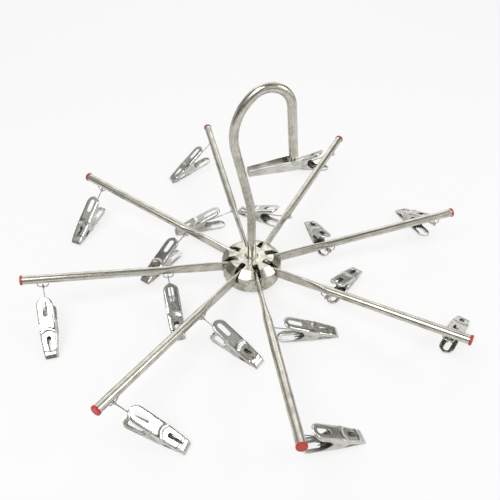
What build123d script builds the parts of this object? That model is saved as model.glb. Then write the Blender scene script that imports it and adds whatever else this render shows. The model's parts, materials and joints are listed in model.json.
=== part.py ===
"""Folding clip drying hanger: a steel hub, eight folding arms, sixteen clips and a gated hook.

Millimetres, +Z up. The origin is the middle of the hub's flat foot. Arm 1 points along -X
and the arms are numbered clockwise seen from above, so arm 5 points along +X.
"""
from build123d import *
from math import asin, atan2, cos, degrees, radians, sin, tan
import os

# ---- hub ----
CAP_RADIUS = 26.1
CAP_TOP = 26.8
SHEET = 0.9
CAP_FLAT_RADIUS = 19.5
CAP_SHOULDER_DROP = 4.6
CAP_SHOULDER_EDGE = 0.6
PETAL_BOTTOM = 10.5
CAP_SLOT_START = 12.0
CAP_SLOT_WIDTH = 5.2
BOWL_GAP = 0.3
FOOT_RADIUS = 18.0
BOWL_RIM = 14.0
CORE_RADIUS = 17.5
CORE_BOTTOM = 13.5
CORE_TOP = 22.5
CORE_BOSS_RADIUS = 9.6
CORE_SLOT_WIDTH = 4.3
COLLAR_RADIUS = 6.0
COLLAR_HEIGHT = 2.2
PEDESTAL_BORE = 7.4
RING_RADIUS = 15.0
RING_HEIGHT = 18.0
RING_WIRE_RADIUS = 1.1
RING_TUNNEL_CLEARANCE = 0.3

# ---- arms ----
ARM_COUNT = 8
ARM_REACH = 190.0
TUBE_RADIUS = 3.5
TUBE_WALL = 0.6
FLAT_WIDTH = 3.0
FLAT_HEIGHT = 9.3
FLAT_END = 37.0
ROUND_START = 60.0
EYE_CLEARANCE = 0.5
ARM_LIFT = (7.4, 6.9, 8.8, 7.9, 6.5, 7.0, 8.3, 7.3)
ARM_PLAY = (0.3, 0.1, 1.7, 2.4, 0.9, -1.0, -4.1, -0.3)
PLUG_RADIUS = 3.9
PLUG_FLANGE = 1.6
PLUG_DEPTH = 6.0
PLUG_FIT = 0.05

# ---- wire eyes under the arms ----
EYE_RADII = {"inner": 73.0, "outer": 174.0}
EYE_DROP = 8.6
EYE_LENGTH = 8.5
EYE_WIRE_RADIUS = 0.45
EYE_BEND = 2.6

# ---- links ----
LINK_LENGTH = 36.0
LINK_WIRE_RADIUS = 0.4
LINK_LOOP_RADIUS = 1.75

# ---- clips ----
CLIP_LENGTH = 48.0
CLIP_WIDTH = 12.0
CLIP_TIP_WIDTH = 9.0
CLIP_SHEET = 0.7
CLIP_SPREAD = 10.5
CLIP_MOUTH = 0.15
CLIP_LIP = 1.0
HANDLE_HOLE = (13.0, 4.6)
JAW_HOLE = (12.0, 4.2, 1.8)
EAR_LENGTH = 15.0
EAR_ROUND = 2.4
EAR_GAP = 0.2
PIN_RADIUS = 1.0
PIN_FIT = 0.05
SPRING_RADIUS = 2.3
SPRING_START = 0.9
SPRING_END = 3.6
TABLE_CLEARANCE = 0.2
LINK_ABOVE_CLIP = {"inner": 4.0, "outer": 10.0}
CLIP_TURN = {
    "inner": (0.0, -3.0, -2.0, -1.0, 0.0, -4.0, -2.0, -5.0),
    "outer": (1.0, 9.0, 15.0, 3.0, 5.0, -3.0, 7.0, 11.0),
}

# ---- hook ----
ROD_RADIUS = 3.5
STEM_FIT = 0.1
STEM_BOTTOM = 7.0
STEM_BEND_HEIGHT = 78.0
STEM_BEND_RADIUS = 60.0
NUT_RADIUS = 6.0
NUT_HEIGHT = 4.0
NUT_GAP = 0.3
HOOK_LEAN = 12.0
HOOK_BEND_START = 135.0
SIDE_ARC_RADIUS = 42.0
SIDE_ARC_END = 50.0
TOP_ARC_RADIUS = 16.5
TIP_LEAN = 5.0
HOOK_TIP_HEIGHT = 116.0

# ---- gate across the hook's mouth ----
GATE_PIVOT_UP = 4.0
GATE_SHEET = 0.8
GATE_SIDE_GAP = 0.3
GATE_FLOOR_DROP = 6.5
GATE_SIDE_UP = 2.4
GATE_BACK = 4.8
GATE_END_DROP = 5.5
GATE_END_HEIGHT = 5.0
GATE_END_NARROWING = 1.2
GATE_END_GAP = 0.4
RIVET_RADIUS = 1.2
RIVET_HEAD_RADIUS = 2.3
RIVET_HEAD_HEIGHT = 0.9


def polygon_solid(points, width, plane=Plane.XZ):
    """Prism of an outline in the plane, centred across it."""
    face = make_face(Polyline(*points, close=True))
    return extrude(plane * face, amount=width / 2, both=True)


def pin_along_y(radius, length, x=0.0, z=0.0, y=0.0):
    """Cylinder whose axis runs along Y."""
    return Pos(x, y, z) * Rot(90, 0, 0) * Cylinder(radius, length)


def arm_azimuth(number):
    """Direction in which an arm's slot points, in degrees from +X."""
    return 180.0 - (number - 1) * 360.0 / ARM_COUNT


# ---- hub ----
def slot_cutters(start, width):
    """Eight radial boxes that open the hub for the arms."""
    length = CAP_RADIUS + 4 - start
    box = Pos(start + length / 2, 0, CAP_TOP / 2) * Box(length, width, CAP_TOP + 20)
    return [Rot(0, 0, arm_azimuth(number)) * box for number in range(1, ARM_COUNT + 1)]


def make_cap():
    """Stamped cap with a collar round the hook and petals between the slots."""
    skirt_inside = CAP_RADIUS - SHEET
    shoulder = CAP_TOP - CAP_SHOULDER_DROP
    outline = [
        (0, CAP_TOP), (CAP_FLAT_RADIUS, CAP_TOP), (CAP_RADIUS - CAP_SHOULDER_EDGE, shoulder),
        (CAP_RADIUS, shoulder - CAP_SHOULDER_EDGE), (CAP_RADIUS, PETAL_BOTTOM), (skirt_inside, PETAL_BOTTOM),
        (skirt_inside, shoulder - CAP_SHOULDER_EDGE - SHEET / 2), (CAP_FLAT_RADIUS - SHEET / 2, CAP_TOP - SHEET),
        (0, CAP_TOP - SHEET)]
    cap = revolve(Plane.XZ * make_face(Polyline(*outline, close=True)), Axis.Z)
    collar = Pos(0, 0, CAP_TOP) * Cone(
        COLLAR_RADIUS, COLLAR_RADIUS - 1.5, COLLAR_HEIGHT, align=(Align.CENTER, Align.CENTER, Align.MIN))
    for cutter in slot_cutters(CAP_SLOT_START, CAP_SLOT_WIDTH):
        cap = cap - cutter
    cap = cap + collar
    return cap - Pos(0, 0, CAP_TOP) * Cylinder(ROD_RADIUS + STEM_FIT, 20)


def make_bowl():
    """Spun bowl under the arms with the pedestal that carries the core."""
    radius = CAP_RADIUS - SHEET - BOWL_GAP
    shell = Cone(FOOT_RADIUS, radius, 6, align=(Align.CENTER, Align.CENTER, Align.MIN))
    shell = shell + Pos(0, 0, 6) * Cylinder(
        radius, BOWL_RIM - 6, align=(Align.CENTER, Align.CENTER, Align.MIN))
    hollow = Pos(0, 0, SHEET) * Cone(
        FOOT_RADIUS - SHEET, radius - SHEET, 6, align=(Align.CENTER, Align.CENTER, Align.MIN))
    hollow = hollow + Pos(0, 0, 6 + SHEET) * Cylinder(
        radius - SHEET, BOWL_RIM, align=(Align.CENTER, Align.CENTER, Align.MIN))
    pedestal = Cylinder(CORE_BOSS_RADIUS, CORE_BOTTOM, align=(Align.CENTER, Align.CENTER, Align.MIN))
    bore = Pos(0, 0, SHEET) * Cylinder(
        PEDESTAL_BORE, CORE_BOTTOM, align=(Align.CENTER, Align.CENTER, Align.MIN))
    return shell - hollow + pedestal - bore


def make_core():
    """Notched disc that keeps the arms apart and holds the pivot ring."""
    disc = Pos(0, 0, CORE_BOTTOM) * Cylinder(
        CORE_RADIUS, CORE_TOP - CORE_BOTTOM, align=(Align.CENTER, Align.CENTER, Align.MIN))
    boss = Pos(0, 0, CORE_BOTTOM) * Cylinder(
        CORE_BOSS_RADIUS, CAP_TOP - SHEET - CORE_BOTTOM, align=(Align.CENTER, Align.CENTER, Align.MIN))
    core = disc + boss
    for cutter in slot_cutters(CORE_BOSS_RADIUS + 0.2, CORE_SLOT_WIDTH):
        core = core - cutter
    core = core - Pos(0, 0, RING_HEIGHT) * Torus(RING_RADIUS, RING_WIRE_RADIUS + RING_TUNNEL_CLEARANCE)
    return core - Pos(0, 0, CAP_TOP / 2) * Cylinder(ROD_RADIUS + STEM_FIT, CAP_TOP * 2)


def make_pivot_ring():
    """Closed wire ring on which the arms fold."""
    return Pos(0, 0, RING_HEIGHT) * Torus(RING_RADIUS, RING_WIRE_RADIUS)


# ---- arms: local X runs outward from the hinge, Z is up ----
def arm_length(lift):
    """Length from the hinge to the tip that gives the reach at this lift."""
    return (ARM_REACH - RING_RADIUS) / cos(radians(lift))


def make_staple(along):
    """Wire eye under the tube: two legs and a bar parallel to the tube."""
    half = EYE_LENGTH / 2
    path = FilletPolyline(
        (along - half, 0, -TUBE_RADIUS + TUBE_WALL), (along - half, 0, -EYE_DROP),
        (along + half, 0, -EYE_DROP), (along + half, 0, -TUBE_RADIUS + TUBE_WALL), radius=EYE_BEND)
    profile = Plane((along - half, 0, -TUBE_RADIUS + TUBE_WALL), z_dir=(0, 0, -1)) * Circle(EYE_WIRE_RADIUS)
    return sweep(profile, path=path)


def make_arm(lift):
    """One arm in its local frame: pressed flat at the hinge, round beyond, with two wire eyes."""
    length = arm_length(lift)
    flat_outline = RectangleRounded(FLAT_WIDTH, FLAT_HEIGHT, FLAT_WIDTH / 2 - 0.05)
    flat_section = Plane((FLAT_END, 0, 0), x_dir=(0, 1, 0), z_dir=(1, 0, 0)) * flat_outline
    flat = extrude(flat_section, amount=-FLAT_END)
    flat = flat + pin_along_y(FLAT_HEIGHT / 2, FLAT_WIDTH)
    flat = flat - pin_along_y(RING_WIRE_RADIUS + EYE_CLEARANCE, FLAT_WIDTH * 2)
    round_section = Plane((ROUND_START, 0, 0), x_dir=(0, 1, 0), z_dir=(1, 0, 0)) * Circle(TUBE_RADIUS)
    neck = loft([flat_section, round_section])
    run = length - PLUG_FLANGE - ROUND_START
    tube = Pos(ROUND_START + run / 2, 0, 0) * Rot(0, 90, 0) * (
        Cylinder(TUBE_RADIUS, run) - Cylinder(TUBE_RADIUS - TUBE_WALL, run))
    arm = flat + neck + tube
    for radius in EYE_RADII.values():
        arm = arm + make_staple((radius - RING_RADIUS) / cos(radians(lift)))
    return arm


def make_plug(lift):
    """Plastic end plug pushed into the tube."""
    length = arm_length(lift)
    flange = Pos(length - PLUG_FLANGE / 2, 0, 0) * Rot(0, 90, 0) * Cylinder(PLUG_RADIUS, PLUG_FLANGE)
    flange = fillet(flange.edges().group_by(Axis.X)[-1], 0.8)
    shank_radius = TUBE_RADIUS - TUBE_WALL - PLUG_FIT
    shank = Pos(length - PLUG_FLANGE - PLUG_DEPTH / 2, 0, 0) * Rot(0, 90, 0) * Cylinder(
        shank_radius, PLUG_DEPTH)
    return flange + shank


def place_arm(number):
    """Location that carries an arm's local frame to its hinge on the pivot ring."""
    at_slot = Rot(0, 0, arm_azimuth(number)) * Pos(RING_RADIUS, 0, RING_HEIGHT)
    return at_slot * Rot(0, 0, ARM_PLAY[number - 1]) * Rot(0, -ARM_LIFT[number - 1], 0)


# ---- clips: local X runs from the handles to the jaw, Y is the pivot pin ----
def plate_outline():
    """Outline of a clip half in its own plane: jaw tip at 0, handle end at minus the length."""
    half = CLIP_WIDTH / 2
    end = -CLIP_LENGTH
    outline = make_face(Polyline(
        (0, -CLIP_TIP_WIDTH / 2), (0, CLIP_TIP_WIDTH / 2), (-CLIP_LENGTH / 3, half),
        (end + half, half), (end + half, -half), (-CLIP_LENGTH / 3, -half), close=True))
    outline = outline + Pos(end + half, 0) * Circle(half)
    handle_hole = Pos(end + half + HANDLE_HOLE[0] / 2 - 2, 0) * SlotOverall(HANDLE_HOLE[0], HANDLE_HOLE[1])
    length, wide, narrow = JAW_HOLE
    start = -4.0
    jaw_hole = make_face(Polyline(
        (start, -narrow / 2), (start, narrow / 2), (start - length, wide / 2), (start - length, -wide / 2),
        close=True))
    return outline - handle_hole - jaw_hole


def make_half(ear_inset):
    """Upper clip half with side ears; ear_inset moves the ears in from the plate's edges."""
    reach = CLIP_LENGTH / 2
    rise = degrees(atan2(CLIP_SPREAD - CLIP_LIP - CLIP_MOUTH, CLIP_LENGTH))
    tip_height = CLIP_MOUTH + CLIP_LIP
    plate = extrude(plate_outline(), amount=CLIP_SHEET)
    plate = Pos(reach, 0, tip_height) * Rot(0, rise, 0) * plate
    lip = Pos(reach - CLIP_SHEET / 2, 0, CLIP_MOUTH + (CLIP_LIP + 0.3) / 2) * Box(
        CLIP_SHEET, CLIP_TIP_WIDTH, CLIP_LIP + 0.3)
    middle = tip_height + reach * tan(radians(rise)) + CLIP_SHEET / 2
    slope = tan(radians(rise))
    half_ear = EAR_LENGTH / 2
    ear = polygon_solid(
        [(-half_ear, middle + half_ear * slope), (half_ear, middle - half_ear * slope),
         (EAR_ROUND, 0), (-EAR_ROUND, 0)], CLIP_SHEET)
    ear = ear + pin_along_y(EAR_ROUND, CLIP_SHEET)
    ear_y = CLIP_WIDTH / 2 - CLIP_SHEET / 2 - ear_inset
    half = plate + lip + Pos(0, ear_y, 0) * ear + Pos(0, -ear_y, 0) * ear
    return half - pin_along_y(PIN_RADIUS + PIN_FIT, CLIP_WIDTH * 2)


def make_jaw_pieces():
    """Fixed half, its pivot pin with heads, and the two ends of the coil spring."""
    length = CLIP_WIDTH + 2 * PIN_FIT
    pin = pin_along_y(PIN_RADIUS, length)
    for side in (-1, 1):
        pin = pin + pin_along_y(PIN_RADIUS + 0.5, 0.5, y=side * (length / 2 + 0.25))
    pieces = [make_half(0.0), pin]
    width = SPRING_END - SPRING_START
    for side in (-1, 1):
        coil = pin_along_y(SPRING_RADIUS, width, y=side * (SPRING_START + width / 2))
        pieces.append(coil - pin_along_y(PIN_RADIUS + 0.3, CLIP_WIDTH))
    return pieces


def make_lever_pieces():
    """Swinging half: the same stamping with its ears inside, turned over."""
    return [Rot(180, 0, 0) * make_half(CLIP_SHEET + EAR_GAP)]


def make_link():
    """Wire link from the arm's eye at the origin to the clip's pin along +X."""
    rod_length = LINK_LENGTH - 2 * LINK_LOOP_RADIUS
    rod = Pos(LINK_LENGTH / 2, 0, 0) * Rot(0, 90, 0) * Cylinder(LINK_WIRE_RADIUS, rod_length)
    loop = Rot(90, 0, 0) * Torus(LINK_LOOP_RADIUS, LINK_WIRE_RADIUS)
    return rod + loop + Pos(LINK_LENGTH, 0, 0) * loop


def pivot_height(pitch):
    """Height of the clip's pin when the tip of its lower half stands on the table."""
    tip_drop = CLIP_MOUTH + CLIP_LIP + CLIP_SHEET
    angle = radians(pitch)
    return TABLE_CLEARANCE + CLIP_LENGTH / 2 * sin(angle) + tip_drop * cos(angle)


def eye_point(number, row):
    """Middle of the eye's bar, which the link hangs from."""
    along = (EYE_RADII[row] - RING_RADIUS) / cos(radians(ARM_LIFT[number - 1]))
    return (place_arm(number) * Pos(along, 0, -EYE_DROP)).position


def clip_angles(number, row):
    """Slope of the link and pitch of the clip, both nose-down, found by repeated substitution."""
    bar_height = eye_point(number, row).Z
    pitch = 15.0
    for _ in range(40):
        slope = degrees(asin((bar_height - pivot_height(pitch)) / LINK_LENGTH))
        pitch = (pitch + slope - LINK_ABOVE_CLIP[row]) / 2
    return slope, pitch


def place_clip(number, row):
    """Locations of the link and of the clip for one eye."""
    slope, pitch = clip_angles(number, row)
    heading = arm_azimuth(number) + ARM_PLAY[number - 1] + 90 + CLIP_TURN[row][number - 1]
    link_place = Pos(*eye_point(number, row)) * Rot(0, 0, heading) * Rot(0, slope, 0)
    pin = (link_place * Pos(LINK_LENGTH, 0, 0)).position
    clip_place = Pos(*pin) * Rot(0, 0, heading) * Rot(0, pitch, 0)
    return link_place, clip_place


# ---- hook, in the XZ plane ----
def hook_points():
    """Places along the rod as (x, z): bend start, where the two arcs meet, top, bend end and tip."""
    lean = radians(HOOK_LEAN)
    start = (-(HOOK_BEND_START - STEM_BEND_HEIGHT) * tan(lean), HOOK_BEND_START)
    side = (start[0] + SIDE_ARC_RADIUS * cos(lean), start[1] + SIDE_ARC_RADIUS * sin(lean))
    turn = radians(SIDE_ARC_END)
    meet = (side[0] - SIDE_ARC_RADIUS * cos(turn), side[1] + SIDE_ARC_RADIUS * sin(turn))
    centre = (meet[0] + TOP_ARC_RADIUS * cos(turn), meet[1] - TOP_ARC_RADIUS * sin(turn))
    top = (centre[0], centre[1] + TOP_ARC_RADIUS)
    tip_lean = radians(TIP_LEAN)
    end = (centre[0] + TOP_ARC_RADIUS * cos(tip_lean), centre[1] + TOP_ARC_RADIUS * sin(tip_lean))
    tip = (end[0] + (end[1] - HOOK_TIP_HEIGHT) * tan(tip_lean), HOOK_TIP_HEIGHT)
    half_turn = (turn - lean) / 2
    side_middle = (side[0] - SIDE_ARC_RADIUS * cos(half_turn), side[1] + SIDE_ARC_RADIUS * sin(half_turn))
    return {"start": start, "side": side_middle, "meet": meet, "top": top, "end": end, "tip": tip}


def gate_pivot():
    """Rivet's place in the hook's tip, as (x, z)."""
    tip = hook_points()["tip"]
    return (tip[0] - GATE_PIVOT_UP * tan(radians(TIP_LEAN)), tip[1] + GATE_PIVOT_UP)


def make_hook_pieces():
    """Bent rod, the nut that holds it in the hub and the gate's rivet."""
    places = {name: (x, 0, z) for name, (x, z) in hook_points().items()}
    path = FilletPolyline((0, 0, STEM_BOTTOM), (0, 0, STEM_BEND_HEIGHT), places["start"],
                          radius=STEM_BEND_RADIUS)
    path = path + ThreePointArc(places["start"], places["side"], places["meet"])
    path = path + ThreePointArc(places["meet"], places["top"], places["end"])
    path = path + Line(places["end"], places["tip"])
    rod = sweep(Plane((0, 0, STEM_BOTTOM)) * Circle(ROD_RADIUS), path=path)
    pivot_x, pivot_z = gate_pivot()
    rod = rod - pin_along_y(RIVET_RADIUS, 4 * ROD_RADIUS, pivot_x, pivot_z)
    nut_top = CORE_BOTTOM - NUT_GAP
    nut = Pos(0, 0, nut_top - NUT_HEIGHT / 2) * extrude(
        RegularPolygon(NUT_RADIUS, 6), amount=NUT_HEIGHT / 2, both=True)
    nut = nut - Pos(0, 0, nut_top) * Cylinder(ROD_RADIUS, 4 * NUT_HEIGHT)
    outside = ROD_RADIUS + GATE_SIDE_GAP + GATE_SHEET + 0.1
    rivet = pin_along_y(RIVET_RADIUS, 2 * outside, pivot_x, pivot_z)
    for side in (-1, 1):
        rivet = rivet + pin_along_y(
            RIVET_HEAD_RADIUS, RIVET_HEAD_HEIGHT, pivot_x, pivot_z, side * (outside + RIVET_HEAD_HEIGHT / 2))
    return [rod, nut, rivet]


def make_gate():
    """Tapered channel, open upwards, from the hook's tip to its slanted leg."""
    pivot_x, pivot_z = gate_pivot()
    left = hook_points()["start"]
    end_z = pivot_z - GATE_END_DROP
    lean = tan(radians(HOOK_LEAN))
    rod_face = left[0] + (left[1] - end_z) * lean + ROD_RADIUS / cos(radians(HOOK_LEAN))
    end_x = rod_face + GATE_END_GAP + GATE_END_HEIGHT * lean
    back_x = pivot_x + GATE_BACK
    side = [(back_x, pivot_z + GATE_SIDE_UP), (back_x, pivot_z - GATE_FLOOR_DROP),
            (end_x, end_z - GATE_END_HEIGHT / 2), (end_x, end_z + GATE_END_HEIGHT / 2)]
    inside = [(back_x + 1, pivot_z + 2 * GATE_SIDE_UP), (back_x + 1, pivot_z - GATE_FLOOR_DROP + GATE_SHEET),
              (end_x - 1, end_z - GATE_END_HEIGHT / 2 + GATE_SHEET), (end_x - 1, pivot_z + 2 * GATE_SIDE_UP)]
    wide = ROD_RADIUS + GATE_SIDE_GAP
    narrow = wide - GATE_END_NARROWING
    outer = polygon_solid(side, 40) & gate_plan(end_x, back_x, narrow + GATE_SHEET, wide + GATE_SHEET)
    inner = polygon_solid(inside, 40) & gate_plan(end_x - 1, back_x + 1, narrow, wide)
    return outer - inner - pin_along_y(RIVET_RADIUS + PIN_FIT, 40, pivot_x, pivot_z)


def gate_plan(end_x, back_x, narrow, wide):
    """Plan of the gate as a tall prism: full width beside the rod, tapering to its free end."""
    knee_x = gate_pivot()[0] - 2 * GATE_BACK
    outline = [(end_x, -narrow), (knee_x, -wide), (back_x, -wide), (back_x, wide), (knee_x, wide),
               (end_x, narrow)]
    return Pos(0, 0, HOOK_TIP_HEIGHT) * extrude(
        make_face(Polyline(*outline, close=True)), amount=60, both=True)


def solids_of(shapes):
    """All solids of a list of shapes."""
    found = []
    for shape in shapes:
        found.extend(shape.solids())
    return found


def write_node(name, shapes):
    """Write one node as a STEP file that holds its separate solids."""
    solids = solids_of(shapes)
    shape = solids[0] if len(solids) == 1 else Compound(children=solids)
    export_step(shape, f"parts/{name}.step")


def main():
    """Build every node of the hanger."""
    os.makedirs("parts", exist_ok=True)
    write_node("hub_cap", [make_cap()])
    write_node("hub_base", [make_bowl(), make_core(), make_pivot_ring()])
    write_node("hook", make_hook_pieces())
    write_node("hook_gate", [make_gate()])
    jaw_pieces = make_jaw_pieces()
    lever_pieces = make_lever_pieces()
    link = make_link()
    for number in range(1, ARM_COUNT + 1):
        lift = ARM_LIFT[number - 1]
        place = place_arm(number)
        write_node(f"arm_{number}", [place * make_arm(lift), place * make_plug(lift)])
        for row in EYE_RADII:
            link_place, clip_place = place_clip(number, row)
            write_node(f"clip_{row}_{number}_link", [link_place * link])
            write_node(f"clip_{row}_{number}_jaw", [clip_place * piece for piece in jaw_pieces])
            write_node(f"clip_{row}_{number}_lever", [clip_place * piece for piece in lever_pieces])


main()
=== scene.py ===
"""Looks of a folding clip drying hanger: bright steel hub, arms, hook, clips and red end plugs.

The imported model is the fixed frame. Metres, +Z up, arm 1 along -X, clips named by row and arm.
"""

import json
import logging
import math
from dataclasses import dataclass, field
from enum import Enum

import bmesh
import bpy
from mathutils import Matrix, Vector


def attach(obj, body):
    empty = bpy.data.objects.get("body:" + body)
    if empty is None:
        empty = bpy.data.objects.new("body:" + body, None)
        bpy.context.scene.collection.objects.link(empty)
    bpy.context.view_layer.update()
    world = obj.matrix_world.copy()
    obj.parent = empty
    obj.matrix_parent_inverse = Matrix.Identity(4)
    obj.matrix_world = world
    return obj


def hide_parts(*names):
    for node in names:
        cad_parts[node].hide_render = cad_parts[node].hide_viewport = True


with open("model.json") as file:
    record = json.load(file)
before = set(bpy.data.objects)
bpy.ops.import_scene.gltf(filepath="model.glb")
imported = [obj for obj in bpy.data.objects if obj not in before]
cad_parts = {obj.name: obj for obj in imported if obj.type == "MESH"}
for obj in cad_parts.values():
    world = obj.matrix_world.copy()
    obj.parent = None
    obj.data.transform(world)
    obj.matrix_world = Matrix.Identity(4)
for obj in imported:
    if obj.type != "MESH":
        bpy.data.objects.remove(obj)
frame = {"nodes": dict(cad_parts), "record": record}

log = logging.getLogger("drying_hanger")
MM = 0.001
ARM_COUNT = 8
SHARP_ANGLE = math.radians(35)  # edges that turn more than this stay crisp
DISC_CORNERS = 8  # a face with more corners than this is the end of a round piece


class Row(Enum):
    """The two rings of clips."""

    INNER = "inner"
    OUTER = "outer"


class Half(Enum):
    """The two stampings of a clip; the value is the side of the mid-plane."""

    JAW = 1
    LEVER = -1


# ---- finishes ----
def add_node(tree: bpy.types.NodeTree, kind: str, **inputs: object) -> bpy.types.Node:
    """Adds a shader node and sets its input sockets.

    Args:
        tree: node tree that gets the node.
        kind: Blender's node type name.
        inputs: socket values by socket name, with underscores for spaces.
    Returns:
        The new node.
    """
    node = tree.nodes.new(kind)
    for name, value in inputs.items():
        node.inputs[name.replace("_", " ")].default_value = value
    return node


def new_material(name: str) -> tuple[bpy.types.Material, bpy.types.NodeTree, bpy.types.Node]:
    """Makes a node material.

    Args:
        name: the material's name.
    Returns:
        The material, its tree and its main shader.
    """
    material = bpy.data.materials.new(name)
    material.use_nodes = True
    tree = material.node_tree
    return material, tree, tree.nodes["Principled BSDF"]


@dataclass(frozen=True)
class Steel:
    """Bright steel drawn or stamped along one direction, with fine streaks and blotchy tarnish."""

    name: str
    bright: tuple[float, float, float] = (0.72, 0.70, 0.635)
    dull: tuple[float, float, float] = (0.38, 0.365, 0.305)
    roughness: tuple[float, float] = (0.16, 0.34)
    streak_mm: tuple[float, float, float] = (14.0, 0.5, 0.5)
    blotch_mm: float = 9.0
    bump: float = 0.12
    streak_share: float = 0.6
    colour_span: tuple[float, float] = (0.36, 0.58)
    gloss_span: tuple[float, float] = (0.35, 0.65)

    def build(self, place: Vector, turn: tuple[float, float, float]) -> bpy.types.Material:
        """Builds the material for a piece that lies along the turned X axis.

        Args:
            place: a point on the piece's long axis.
            turn: Euler angles that carry X to the streaks' direction.
        Returns:
            The material.
        """
        material, tree, shader = new_material(self.name)
        shader.inputs["Metallic"].default_value = 1.0
        where = add_node(tree, "ShaderNodeTexCoord")
        along = add_node(tree, "ShaderNodeMapping")
        along.vector_type = "TEXTURE"
        along.inputs["Location"].default_value = place
        along.inputs["Rotation"].default_value = turn
        along.inputs["Scale"].default_value = [size * MM for size in self.streak_mm]
        streaks = add_node(tree, "ShaderNodeTexNoise", Scale=1.0, Detail=5.0, Roughness=0.65)
        blotches = add_node(tree, "ShaderNodeTexNoise", Scale=1 / (self.blotch_mm * MM),
                            Detail=3.0)
        tree.links.new(where.outputs["Object"], along.inputs["Vector"])
        tree.links.new(along.outputs["Vector"], streaks.inputs["Vector"])
        tree.links.new(where.outputs["Object"], blotches.inputs["Vector"])
        both = add_node(tree, "ShaderNodeMath")
        both.operation = "MULTIPLY_ADD"
        both.inputs[1].default_value = self.streak_share
        tree.links.new(streaks.outputs["Fac"], both.inputs[0])
        scaled = add_node(tree, "ShaderNodeMath")
        scaled.operation = "MULTIPLY"
        scaled.inputs[1].default_value = 1.0 - self.streak_share
        tree.links.new(blotches.outputs["Fac"], scaled.inputs[0])
        tree.links.new(scaled.outputs[0], both.inputs[2])
        colours = add_node(tree, "ShaderNodeValToRGB")
        colours.color_ramp.elements[0].position = self.colour_span[0]
        colours.color_ramp.elements[0].color = (*self.dull, 1.0)
        colours.color_ramp.elements[1].position = self.colour_span[1]
        colours.color_ramp.elements[1].color = (*self.bright, 1.0)
        tree.links.new(both.outputs[0], colours.inputs["Fac"])
        tree.links.new(colours.outputs["Color"], shader.inputs["Base Color"])
        gloss = add_node(tree, "ShaderNodeMapRange", From_Min=self.gloss_span[0],
                         From_Max=self.gloss_span[1])
        gloss.inputs["To Min"].default_value = self.roughness[1]
        gloss.inputs["To Max"].default_value = self.roughness[0]
        tree.links.new(both.outputs[0], gloss.inputs["Value"])
        tree.links.new(gloss.outputs["Result"], shader.inputs["Roughness"])
        relief = add_node(tree, "ShaderNodeBump", Strength=self.bump, Distance=0.05 * MM)
        tree.links.new(streaks.outputs["Fac"], relief.inputs["Height"])
        tree.links.new(relief.outputs["Normal"], shader.inputs["Normal"])
        return material


@dataclass(frozen=True)
class Plastic:
    """Moulded plastic with a faint grain and uneven gloss."""

    name: str
    colour: tuple[float, float, float] = (0.60, 0.035, 0.022)
    shade: tuple[float, float, float] = (0.44, 0.02, 0.014)

    def build(self) -> bpy.types.Material:
        """Builds the material."""
        material, tree, shader = new_material(self.name)
        shader.inputs["Coat Weight"].default_value = 0.15
        where = add_node(tree, "ShaderNodeTexCoord")
        grain = add_node(tree, "ShaderNodeTexNoise", Scale=700.0, Detail=3.0)
        tree.links.new(where.outputs["Object"], grain.inputs["Vector"])
        colours = add_node(tree, "ShaderNodeValToRGB")
        colours.color_ramp.elements[0].position = 0.3
        colours.color_ramp.elements[0].color = (*self.shade, 1.0)
        colours.color_ramp.elements[1].position = 0.6
        colours.color_ramp.elements[1].color = (*self.colour, 1.0)
        tree.links.new(grain.outputs["Fac"], colours.inputs["Fac"])
        tree.links.new(colours.outputs["Color"], shader.inputs["Base Color"])
        gloss = add_node(tree, "ShaderNodeMapRange", To_Min=0.3, To_Max=0.5)
        tree.links.new(grain.outputs["Fac"], gloss.inputs["Value"])
        tree.links.new(gloss.outputs["Result"], shader.inputs["Roughness"])
        relief = add_node(tree, "ShaderNodeBump", Strength=0.15, Distance=0.1 * MM)
        tree.links.new(grain.outputs["Fac"], relief.inputs["Height"])
        tree.links.new(relief.outputs["Normal"], shader.inputs["Normal"])
        return material


# ---- small helpers ----
def finish_mesh(shape: bmesh.types.BMesh, name: str, place: Matrix) -> bpy.types.Object:
    """Turns a bmesh into a smooth-shaded object whose place is in its mesh.

    Args:
        shape: the bmesh, freed here.
        name: the object's name.
        place: transform from the shape's own frame to the row frame.
    Returns:
        The new object.
    """
    bmesh.ops.recalc_face_normals(shape, faces=shape.faces)
    mesh = bpy.data.meshes.new(name)
    shape.to_mesh(mesh)
    shape.free()
    mesh.transform(place)
    mesh.shade_smooth()
    mesh.set_sharp_from_angle(angle=SHARP_ANGLE)
    piece = bpy.data.objects.new(name, mesh)
    bpy.context.scene.collection.objects.link(piece)
    return piece


def dress(piece: bpy.types.Object, material: bpy.types.Material) -> None:
    """Puts one material on every slot of a piece."""
    if not piece.data.materials:
        piece.data.materials.append(material)
    for slot in piece.material_slots:
        slot.material = material


def axes_matrix(x_axis: Vector, y_axis: Vector, place: Vector) -> Matrix:
    """Matrix of a right-handed frame from its X and Y directions and its origin."""
    x_unit = x_axis.normalized()
    z_unit = x_unit.cross(y_axis).normalized()
    y_unit = z_unit.cross(x_unit)
    matrix = Matrix((x_unit, y_unit, z_unit)).transposed().to_4x4()
    matrix.translation = place
    return matrix


def joint(name: str) -> dict:
    """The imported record's joint of that name."""
    return next(entry for entry in frame["record"]["behaviour"]["joints"] if entry["name"] == name)


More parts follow.
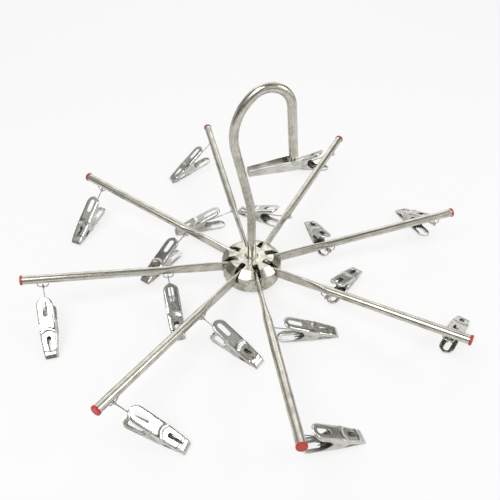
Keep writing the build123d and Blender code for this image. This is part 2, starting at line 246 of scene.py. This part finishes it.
def wire_piece(name: str, points: list[Vector], radius: float, place: Matrix) -> bpy.types.Object:
    """Makes a wire along a smooth line of points, with closed ends.

    Args:
        name: the piece's name.
        points: control points in the piece's own frame.
        radius: the wire's radius in metres.
        place: transform to the row frame.
    Returns:
        The mesh object.
    """
    curve = bpy.data.curves.new(name, "CURVE")
    curve.dimensions = "3D"
    curve.bevel_depth = radius
    curve.bevel_resolution = 2
    curve.use_fill_caps = True
    curve.resolution_u = 2
    spline = curve.splines.new("NURBS")
    spline.points.add(len(points) - 1)
    for point, target in zip(spline.points, points):
        point.co = (*target, 1.0)
    spline.order_u = 3
    spline.use_endpoint_u = True
    source = bpy.data.objects.new(name + "_line", curve)
    mesh = bpy.data.meshes.new_from_object(source)
    bpy.data.objects.remove(source)
    mesh.transform(place)
    mesh.shade_smooth()
    piece = bpy.data.objects.new(name, mesh)
    bpy.context.scene.collection.objects.link(piece)
    return piece


# ---- sub-assemblies ----
@dataclass
class Arm:
    """One folding arm: the tube of the frame with its moulded end plug."""

    number: int
    plug: Plastic
    steel: Steel
    reach: float = 0.190
    flange_radius: float = 4.0 * MM
    flange_length: float = 1.9 * MM
    edge_round: float = 0.75 * MM
    face_inset: float = 1.1 * MM
    face_dish: float = 0.15 * MM
    stand_out: float = 0.3 * MM

    @property
    def name(self) -> str:
        """The arm's node and body."""
        return f"arm_{self.number}"

    def place(self) -> Matrix:
        """The arm's frame: origin at its hinge, X outward along the tube."""
        fold = joint(f"{self.name}_fold")
        outward = -Vector(joint(f"clip_inner_{self.number}_swing")["axis"])
        return axes_matrix(outward, -Vector(fold["axis"]), Vector(fold["pos_m"]))

    def build_plug(self, place: Matrix) -> bpy.types.Object:
        """Makes the plug's domed flange, which closes over the one in the frame."""
        hinge_reach = math.hypot(place.translation.x, place.translation.y)
        lift = math.asin(place.col[0][2])
        length = (self.reach - hinge_reach) / math.cos(lift)
        shape = bmesh.new()
        bmesh.ops.create_cone(shape, cap_ends=True, segments=40, radius1=self.flange_radius,
                              radius2=self.flange_radius, depth=self.flange_length)
        front = [edge for edge in shape.edges if all(vert.co.z > 0 for vert in edge.verts)]
        bmesh.ops.bevel(shape, geom=front, offset=self.edge_round, affect="EDGES", segments=4,
                        profile=0.5, material=-1)
        top = [face for face in shape.faces if len(face.verts) > DISC_CORNERS and face.normal.z > 0.9]
        bmesh.ops.inset_region(shape, faces=top, thickness=self.face_inset,
                               depth=-self.face_dish)
        turn = Matrix.Rotation(math.pi / 2, 4, "Y")
        shift = Matrix.Translation((length - self.flange_length / 2 + self.stand_out, 0, 0))
        return finish_mesh(shape, f"plug_{self.number}", place @ shift @ turn)

    def build(self) -> None:
        """Dresses the tube and adds its plug."""
        place = self.place()
        tube = self.steel.build(place.translation, tuple(place.to_euler()))
        dress(frame["nodes"][self.name], tube)
        plug = self.build_plug(place)
        dress(plug, self.plug.build())
        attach(plug, self.name)
        log.info("arm %d dressed", self.number)


@dataclass
class ClipShape:
    """Sizes of the clip's stampings, in millimetres in the clip's own frame.

    X runs from the handles to the jaw with the pin at 0, Z is up from the mid-plane.
    """

    length: float = 48.0
    half_width: float = 5.9
    tip_half_width: float = 4.6
    sheet: float = 0.6
    spread: float = 10.4
    tip_height: float = 1.2
    fold_radius: float = 1.0
    rim: float = 0.9
    ear_depth: float = 7.4
    ear_half_length: float = 6.4
    inside_step: float = 0.85
    crease_height: float = 0.55
    crease_place: float = 1.5
    crease_bow: float = 0.09
    crease_width: float = 1.1
    lip_height: float = 0.35
    lip_place: float = 18.2
    lip_bow: float = 0.05
    lip_width: float = 0.8
    nip_length: float = 2.2
    nip_slope: float = 0.45
    handle_hole: tuple[float, float] = (13.0, 2.2)
    handle_hole_inset: float = 9.5
    jaw_hole: tuple[float, float, float] = (12.0, 2.0, 0.9)
    jaw_hole_inset: float = 11.0
    cutter_height: float = 30.0
    meshes: dict[Half, bpy.types.Mesh] = field(default_factory=dict)

    def half_width_at(self, x: float, narrower: float) -> float:
        """Half width of the plate, rounded at the handle end and tapering to the jaw."""
        reach = self.length / 2
        wide = self.half_width - narrower
        if x > reach / 3:
            part = (x - reach / 3) / (reach * 2 / 3)
            return wide + (self.tip_half_width - narrower / 2 - wide) * part
        rounding = wide * 0.98
        into_end = (-reach + rounding) - x
        if into_end <= 0:
            return wide
        return max(math.sqrt(max(rounding ** 2 - into_end ** 2, 0.0)), 0.6)

    def height_at(self, x: float, y: float) -> float:
        """Height of the plate's inner face with its crease, its lip and the nip at the tip."""
        reach = self.length / 2
        rise = (self.spread - self.tip_height) / self.length
        height = self.tip_height + (reach - x) * rise
        crease = (x - self.crease_place - self.crease_bow * y * y) / self.crease_width
        height += self.crease_height * math.exp(-crease ** 2)
        lip = (x - self.lip_place + self.lip_bow * y * y) / self.lip_width
        height += self.lip_height * math.exp(-lip ** 2)
        if x > reach - self.nip_length:
            height -= self.nip_slope * (x - reach + self.nip_length)
        return height

    def depth_at(self, x: float) -> float:
        """Depth of the side flange, which is deepest as an ear round the pin."""
        ear = (self.ear_depth - self.rim) * math.exp(-((x / self.ear_half_length) ** 4))
        fade = min(1.0, (self.length / 2 - abs(x)) / 6.0)
        return self.rim * max(fade, 0.15) + ear

    def map_point(self, s: float, x: float, narrower: float) -> Vector:
        """Wraps a point of the flat blank over the folded section.

        Args:
            s: position across the blank, from -1 to 1.
            x: position along the clip.
            narrower: how much narrower this stamping is on each side.
        Returns:
            The point in millimetres.
        """
        wide = self.half_width_at(x, narrower)
        bend = min(self.fold_radius, wide * 0.5)
        flat = wide - bend
        arc = bend * math.pi / 2
        total = flat + arc + self.depth_at(x)
        run = abs(s) * total
        side = math.copysign(1.0, s)
        if run <= flat:
            return Vector((x, side * run, self.height_at(x, run)))
        edge = self.height_at(x, flat)
        if run <= flat + arc:
            angle = (run - flat) / bend
            return Vector((x, side * (flat + bend * math.sin(angle)),
                           edge - bend * (1 - math.cos(angle))))
        return Vector((x, side * wide, edge - bend - (run - flat - arc)))

    def cutter(self, length: float, wide: float, narrow: float, x: float) -> bpy.types.Object:
        """Tall tapered slot used to pierce the plate, rounded at both ends."""
        shape = bmesh.new()
        bmesh.ops.create_circle(shape, cap_ends=True, segments=32, radius=1.0)
        for vert in shape.verts:
            side = math.copysign(1.0, vert.co.x) if abs(vert.co.x) > 1e-6 else 0.0
            radius = narrow if side > 0 else wide
            along = side * (length / 2 - radius)
            vert.co = Vector((x + along + vert.co.x * radius, vert.co.y * radius, 0.0))
        grown = bmesh.ops.extrude_face_region(shape, geom=shape.faces[:])
        lifted = [item for item in grown["geom"] if isinstance(item, bmesh.types.BMVert)]
        bmesh.ops.translate(shape, verts=lifted, vec=(0, 0, self.cutter_height))
        return finish_mesh(shape, "cutter", Matrix.Identity(4))

    def make_half(self, half: Half) -> bpy.types.Mesh:
        """Makes one stamping in millimetres: folded, given its wall, then pierced."""
        narrower = 0.0 if half is Half.JAW else self.inside_step
        shape = bmesh.new()
        bmesh.ops.create_grid(shape, x_segments=64, y_segments=30, size=1.0)
        for vert in shape.verts:
            x = vert.co.x * self.length / 2
            vert.co = self.map_point(vert.co.y, x, narrower)
        bmesh.ops.recalc_face_normals(shape, faces=shape.faces)
        if sum(face.normal.z for face in shape.faces) < 0:
            bmesh.ops.reverse_faces(shape, faces=shape.faces)
        bmesh.ops.solidify(shape, geom=shape.faces[:], thickness=-self.sheet)
        piece = finish_mesh(shape, f"blank_{half.name.lower()}", Matrix.Identity(4))
        reach = self.length / 2
        handle_length, handle_radius = self.handle_hole
        jaw_length, jaw_wide, jaw_narrow = self.jaw_hole
        cutters = [
            self.cutter(handle_length, handle_radius, handle_radius, -reach + self.handle_hole_inset),
            self.cutter(jaw_length, jaw_wide, jaw_narrow, reach - self.jaw_hole_inset),
        ]
        for cutter in cutters:
            pierce = piece.modifiers.new("pierce", "BOOLEAN")
            pierce.operation = "DIFFERENCE"
            pierce.object = cutter
        bpy.context.view_layer.update()
        graph = bpy.context.evaluated_depsgraph_get()
        mesh = bpy.data.meshes.new_from_object(piece.evaluated_get(graph))
        for spent in (piece, *cutters):
            bpy.data.objects.remove(spent)
        if half is Half.LEVER:
            mesh.transform(Matrix.Rotation(math.pi, 4, "X"))
        mesh.transform(Matrix.Scale(MM, 4))
        return mesh

    def half_mesh(self, half: Half) -> bpy.types.Mesh:
        """A fresh copy of one stamping's mesh."""
        if half not in self.meshes:
            self.meshes[half] = self.make_half(half)
        return self.meshes[half].copy()


@dataclass
class Clip:
    """One sprung clip with its pin, coil spring and wire link."""

    row: Row
    arm: int
    shape: ClipShape
    stamping: Steel
    wire: Steel
    # steel of the coils and legs, painted dark as shade for the shadow inside the clip
    painted_shade_spring: Steel
    coil_radius: float = 2.2 * MM
    coil_wire: float = 0.42 * MM
    coil_turns: int = 4
    coil_steps: int = 10
    coil_start: float = 1.1 * MM
    coil_end: float = 4.1 * MM
    leg_length: float = 11.0 * MM
    leg_rise: float = 0.42
    pin_radius: float = 1.0 * MM
    pin_half_length: float = 6.6 * MM
    pin_head_growth: float = 1.5
    pin_head_round: float = 0.25 * MM

    @property
    def name(self) -> str:
        """Start of the clip's node names."""
        return f"clip_{self.row.value}_{self.arm}"

    def place(self) -> Matrix:
        """The clip's frame, from its joints: pin at the origin, X towards the jaw."""
        turn = joint(f"{self.name}_turn")
        eye = Vector(joint(f"{self.name}_swing")["pos_m"])
        pin = Vector(turn["pos_m"])
        y_axis = -Vector(turn["axis"])
        link_above = -sum(turn["range_deg"]) / 2
        along = Matrix.Rotation(math.radians(-link_above), 3, y_axis) @ (pin - eye)
        return axes_matrix(along, y_axis, pin)

    def build_half(self, half: Half, place: Matrix, material: bpy.types.Material) -> None:
        """Adds one stamping in place of its node."""
        node = f"{self.name}_{half.name.lower()}"
        mesh = self.shape.half_mesh(half)
        mesh.transform(place)
        mesh.shade_smooth()
        mesh.set_sharp_from_angle(angle=SHARP_ANGLE)
        piece = bpy.data.objects.new(f"{node}_plate", mesh)
        bpy.context.scene.collection.objects.link(piece)
        dress(piece, material)
        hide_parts(node)
        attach(piece, node)

    def build_pin(self, place: Matrix, material: bpy.types.Material) -> None:
        """Adds the pivot pin with its spread heads."""
        shape = bmesh.new()
        across = Matrix.Rotation(math.pi / 2, 4, "X")
        bmesh.ops.create_cone(shape, cap_ends=True, segments=24, radius1=self.pin_radius,
                              radius2=self.pin_radius, depth=2 * self.pin_half_length, matrix=across)
        ends = [face for face in shape.faces if len(face.verts) > DISC_CORNERS]
        head = bmesh.ops.extrude_discrete_faces(shape, faces=ends)["faces"]
        bmesh.ops.scale(shape, verts=list({vert for face in head for vert in face.verts}),
                        vec=(self.pin_head_growth, 1, self.pin_head_growth))
        rims = [edge for face in head for edge in face.edges]
        bmesh.ops.bevel(shape, geom=rims, offset=self.pin_head_round, affect="EDGES", segments=3,
                        profile=0.5, material=-1)
        pin = finish_mesh(shape, f"{self.name}_pin", place)
        dress(pin, material)
        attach(pin, f"{self.name}_jaw")

    def coil_points(self, side: int) -> list[Vector]:
        """Points of one end's coil, which finishes in a leg under the upper handle."""
        steps = self.coil_steps * self.coil_turns
        points = []
        for step in range(steps + 1):
            angle = math.pi / 2 - 2 * math.pi * step / self.coil_steps
            y = side * (self.coil_start + (self.coil_end - self.coil_start) * step / steps)
            points.append(Vector((self.coil_radius * math.cos(angle), y,
                                  self.coil_radius * math.sin(angle))))
        y = side * self.coil_end
        rise = self.leg_length * self.leg_rise
        points.append(Vector((-self.leg_length * 0.35, y, self.coil_radius + rise * 0.45)))
        points.append(Vector((-self.leg_length, y, self.coil_radius + rise)))
        return points

    def build_spring(self, place: Matrix, material: bpy.types.Material) -> None:
        """Adds the coils with their upper legs, and the lower legs on the lever; their dark steel is
        painted shade.
        """
        for side, label in ((-1, "left"), (1, "right")):
            coil = wire_piece(f"{self.name}_spring_{label}", self.coil_points(side),
                              self.coil_wire, place)
            dress(coil, material)
            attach(coil, f"{self.name}_jaw")
            y = side * self.coil_start
            drop = self.leg_length * self.leg_rise
            leg_points = [Vector((-1.0 * MM, y, -self.coil_radius)),
                          Vector((-self.leg_length * 0.5, y, -self.coil_radius - drop * 0.55)),
                          Vector((-self.leg_length, y, -self.coil_radius - drop))]
            leg = wire_piece(f"{self.name}_leg_{label}", leg_points, self.coil_wire, place)
            dress(leg, material)
            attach(leg, f"{self.name}_lever")

    def build(self) -> None:
        """Builds and dresses the whole clip."""
        place = self.place()
        turn = tuple(place.to_euler())
        plate = self.stamping.build(place.translation, turn)
        self.build_half(Half.JAW, place, plate)
        self.build_half(Half.LEVER, place, plate)
        self.build_pin(place, plate)
        # The coils and legs get the dark steel: painted shade for the clip's shaded inside.
        self.build_spring(place, self.painted_shade_spring.build(place.translation, turn))
        dress(frame["nodes"][f"{self.name}_link"], self.wire.build(place.translation, turn))
        log.info("%s built", self.name)


@dataclass
class HubAndHook:
    """The stamped hub, the bent rod and its gate, which keep the frame's shapes."""

    sheet: Steel
    rod: Steel
    gate: Steel
    rod_tilt: float = -80.0

    def build(self) -> None:
        """Dresses the hub's and the hook's nodes."""
        centre = Vector((0, 0, 0))
        hub = self.sheet.build(centre, (0, 0, 0))
        dress(frame["nodes"]["hub_cap"], hub)
        dress(frame["nodes"]["hub_base"], hub)
        upright = (0, math.radians(self.rod_tilt), 0)
        dress(frame["nodes"]["hook"], self.rod.build(centre, upright))
        dress(frame["nodes"]["hook_gate"], self.gate.build(centre, (0, 0, 0)))
        log.info("hub and hook dressed")


@dataclass
class Studio:
    """Camera, floor, soft lamps and a white surround."""

    azimuth: float = -13.1
    elevation: float = 45.8
    distance: float = 0.485
    lens: float = 38.3
    shift: tuple[float, float] = (-0.003, 0.0532)
    floor_size: float = 30.0
    floor_colour: tuple[float, float, float] = (0.86, 0.86, 0.86)
    floor_glow: float = 0.78

    def build_camera(self) -> None:
        """Adds the camera, looking at the hub's foot."""
        camera = bpy.data.objects.new("camera", bpy.data.cameras.new("camera"))
        azimuth = math.radians(self.azimuth)
        elevation = math.radians(self.elevation)
        back = Vector((math.sin(azimuth) * math.cos(elevation),
                       -math.cos(azimuth) * math.cos(elevation), math.sin(elevation)))
        camera.location = back * self.distance
        camera.rotation_euler = (-back).to_track_quat("-Z", "Y").to_euler()
        camera.data.lens = self.lens
        camera.data.shift_x, camera.data.shift_y = self.shift
        bpy.context.scene.collection.objects.link(camera)
        bpy.context.scene.camera = camera

    def build_floor(self) -> None:
        """Adds the pale floor, which glows to the camera but keeps the object's shadow."""
        shape = bmesh.new()
        bmesh.ops.create_grid(shape, x_segments=1, y_segments=1, size=self.floor_size / 2)
        floor = finish_mesh(shape, "floor", Matrix.Identity(4))
        material, tree, shader = new_material("floor_paper")
        shader.inputs["Base Color"].default_value = (*self.floor_colour, 1.0)
        shader.inputs["Roughness"].default_value = 0.8
        shader.inputs["Specular IOR Level"].default_value = 0.0
        glow = add_node(tree, "ShaderNodeEmission", Strength=1.0)
        seen = add_node(tree, "ShaderNodeLightPath")
        share = add_node(tree, "ShaderNodeMath")
        share.operation = "MULTIPLY"
        share.inputs[1].default_value = self.floor_glow
        mix = add_node(tree, "ShaderNodeMixShader")
        tree.links.new(seen.outputs["Is Camera Ray"], share.inputs[0])
        tree.links.new(share.outputs[0], mix.inputs["Fac"])
        tree.links.new(shader.outputs["BSDF"], mix.inputs[1])
        tree.links.new(glow.outputs["Emission"], mix.inputs[2])
        tree.links.new(mix.outputs["Shader"], tree.nodes["Material Output"].inputs["Surface"])
        floor.data.materials.append(material)

    def build_lamp(self, name: str, place: tuple[float, float, float], size: float,
                   power: float) -> None:
        """Adds a square soft lamp that faces the object.

        Args:
            name: the lamp's name.
            place: where it stands, in metres.
            size: side of its square in metres.
            power: its power in watts.
        """
        lamp = bpy.data.objects.new(name, bpy.data.lights.new(name, "AREA"))
        lamp.data.size = size
        lamp.data.energy = power
        lamp.location = place
        lamp.rotation_euler = (-Vector(place)).to_track_quat("-Z", "Y").to_euler()
        bpy.context.scene.collection.objects.link(lamp)

    def build_world(self) -> None:
        """Makes the surround white to the camera and dimmer, like a room, to the metal.

        Inputs 6 and 7 and output 2 of the colour mix are its A, B and Result.
        """
        world = bpy.data.worlds.new("surround")
        bpy.context.scene.world = world
        world.use_nodes = True
        tree = world.node_tree
        back = tree.nodes["Background"]
        seen = add_node(tree, "ShaderNodeLightPath")
        where = add_node(tree, "ShaderNodeTexCoord")
        patches = add_node(tree, "ShaderNodeTexNoise", Scale=1.6, Detail=1.0)
        room = add_node(tree, "ShaderNodeValToRGB")
        room.color_ramp.elements[0].position = 0.42
        room.color_ramp.elements[0].color = (0.10, 0.10, 0.09, 1.0)
        room.color_ramp.elements[1].position = 0.60
        room.color_ramp.elements[1].color = (0.80, 0.80, 0.77, 1.0)
        choose = add_node(tree, "ShaderNodeMix")
        choose.data_type = "RGBA"
        choose.inputs[7].default_value = (1.0, 1.0, 1.0, 1.0)
        tree.links.new(where.outputs["Generated"], patches.inputs["Vector"])
        tree.links.new(patches.outputs["Fac"], room.inputs["Fac"])
        tree.links.new(seen.outputs["Is Camera Ray"], choose.inputs[0])
        tree.links.new(room.outputs["Color"], choose.inputs[6])
        tree.links.new(choose.outputs[2], back.inputs["Color"])
        back.inputs["Strength"].default_value = 1.0

    def build(self) -> None:
        """Builds the whole studio."""
        self.build_camera()
        self.build_floor()
        self.build_lamp("key", (-0.45, -0.35, 0.95), 0.6, 6.0)
        self.build_lamp("fill", (0.75, -0.25, 0.7), 0.35, 2.4)
        self.build_lamp("rim", (0.15, 0.9, 0.8), 1.5, 5.0)
        self.build_world()
        bpy.context.scene.view_settings.view_transform = "Standard"


def main() -> None:
    """Builds the studio, then the hanger from the hub outwards."""
    logging.basicConfig(level=logging.INFO)
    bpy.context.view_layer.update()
    Studio().build()
    tube = Steel("tube_steel")
    clip_steel = Steel("clip_steel", bright=(0.78, 0.775, 0.75), dull=(0.50, 0.49, 0.46),
                       roughness=(0.14, 0.3), streak_mm=(8.0, 1.2, 1.2))
    wire = Steel("wire_steel", bright=(0.42, 0.42, 0.40), dull=(0.2, 0.2, 0.19),
                 streak_mm=(4.0, 0.6, 0.6))
    # The coils' steel is painted much darker than the clip's: painted shade standing in for the
    # shadow inside the clip.
    painted_shade_spring = Steel("spring_steel", bright=(0.34, 0.33, 0.31), dull=(0.14, 0.135, 0.125))
    hub_steel = Steel("hub_steel", streak_mm=(3.0, 3.0, 3.0), blotch_mm=5.0)
    HubAndHook(hub_steel, tube, clip_steel).build()
    shape = ClipShape()
    for number in range(1, ARM_COUNT + 1):
        Arm(number, Plastic("red_plastic"), tube).build()
        for row in Row:
            Clip(row, number, shape, clip_steel, wire, painted_shade_spring).build()


if __name__ == "__main__":
    main()
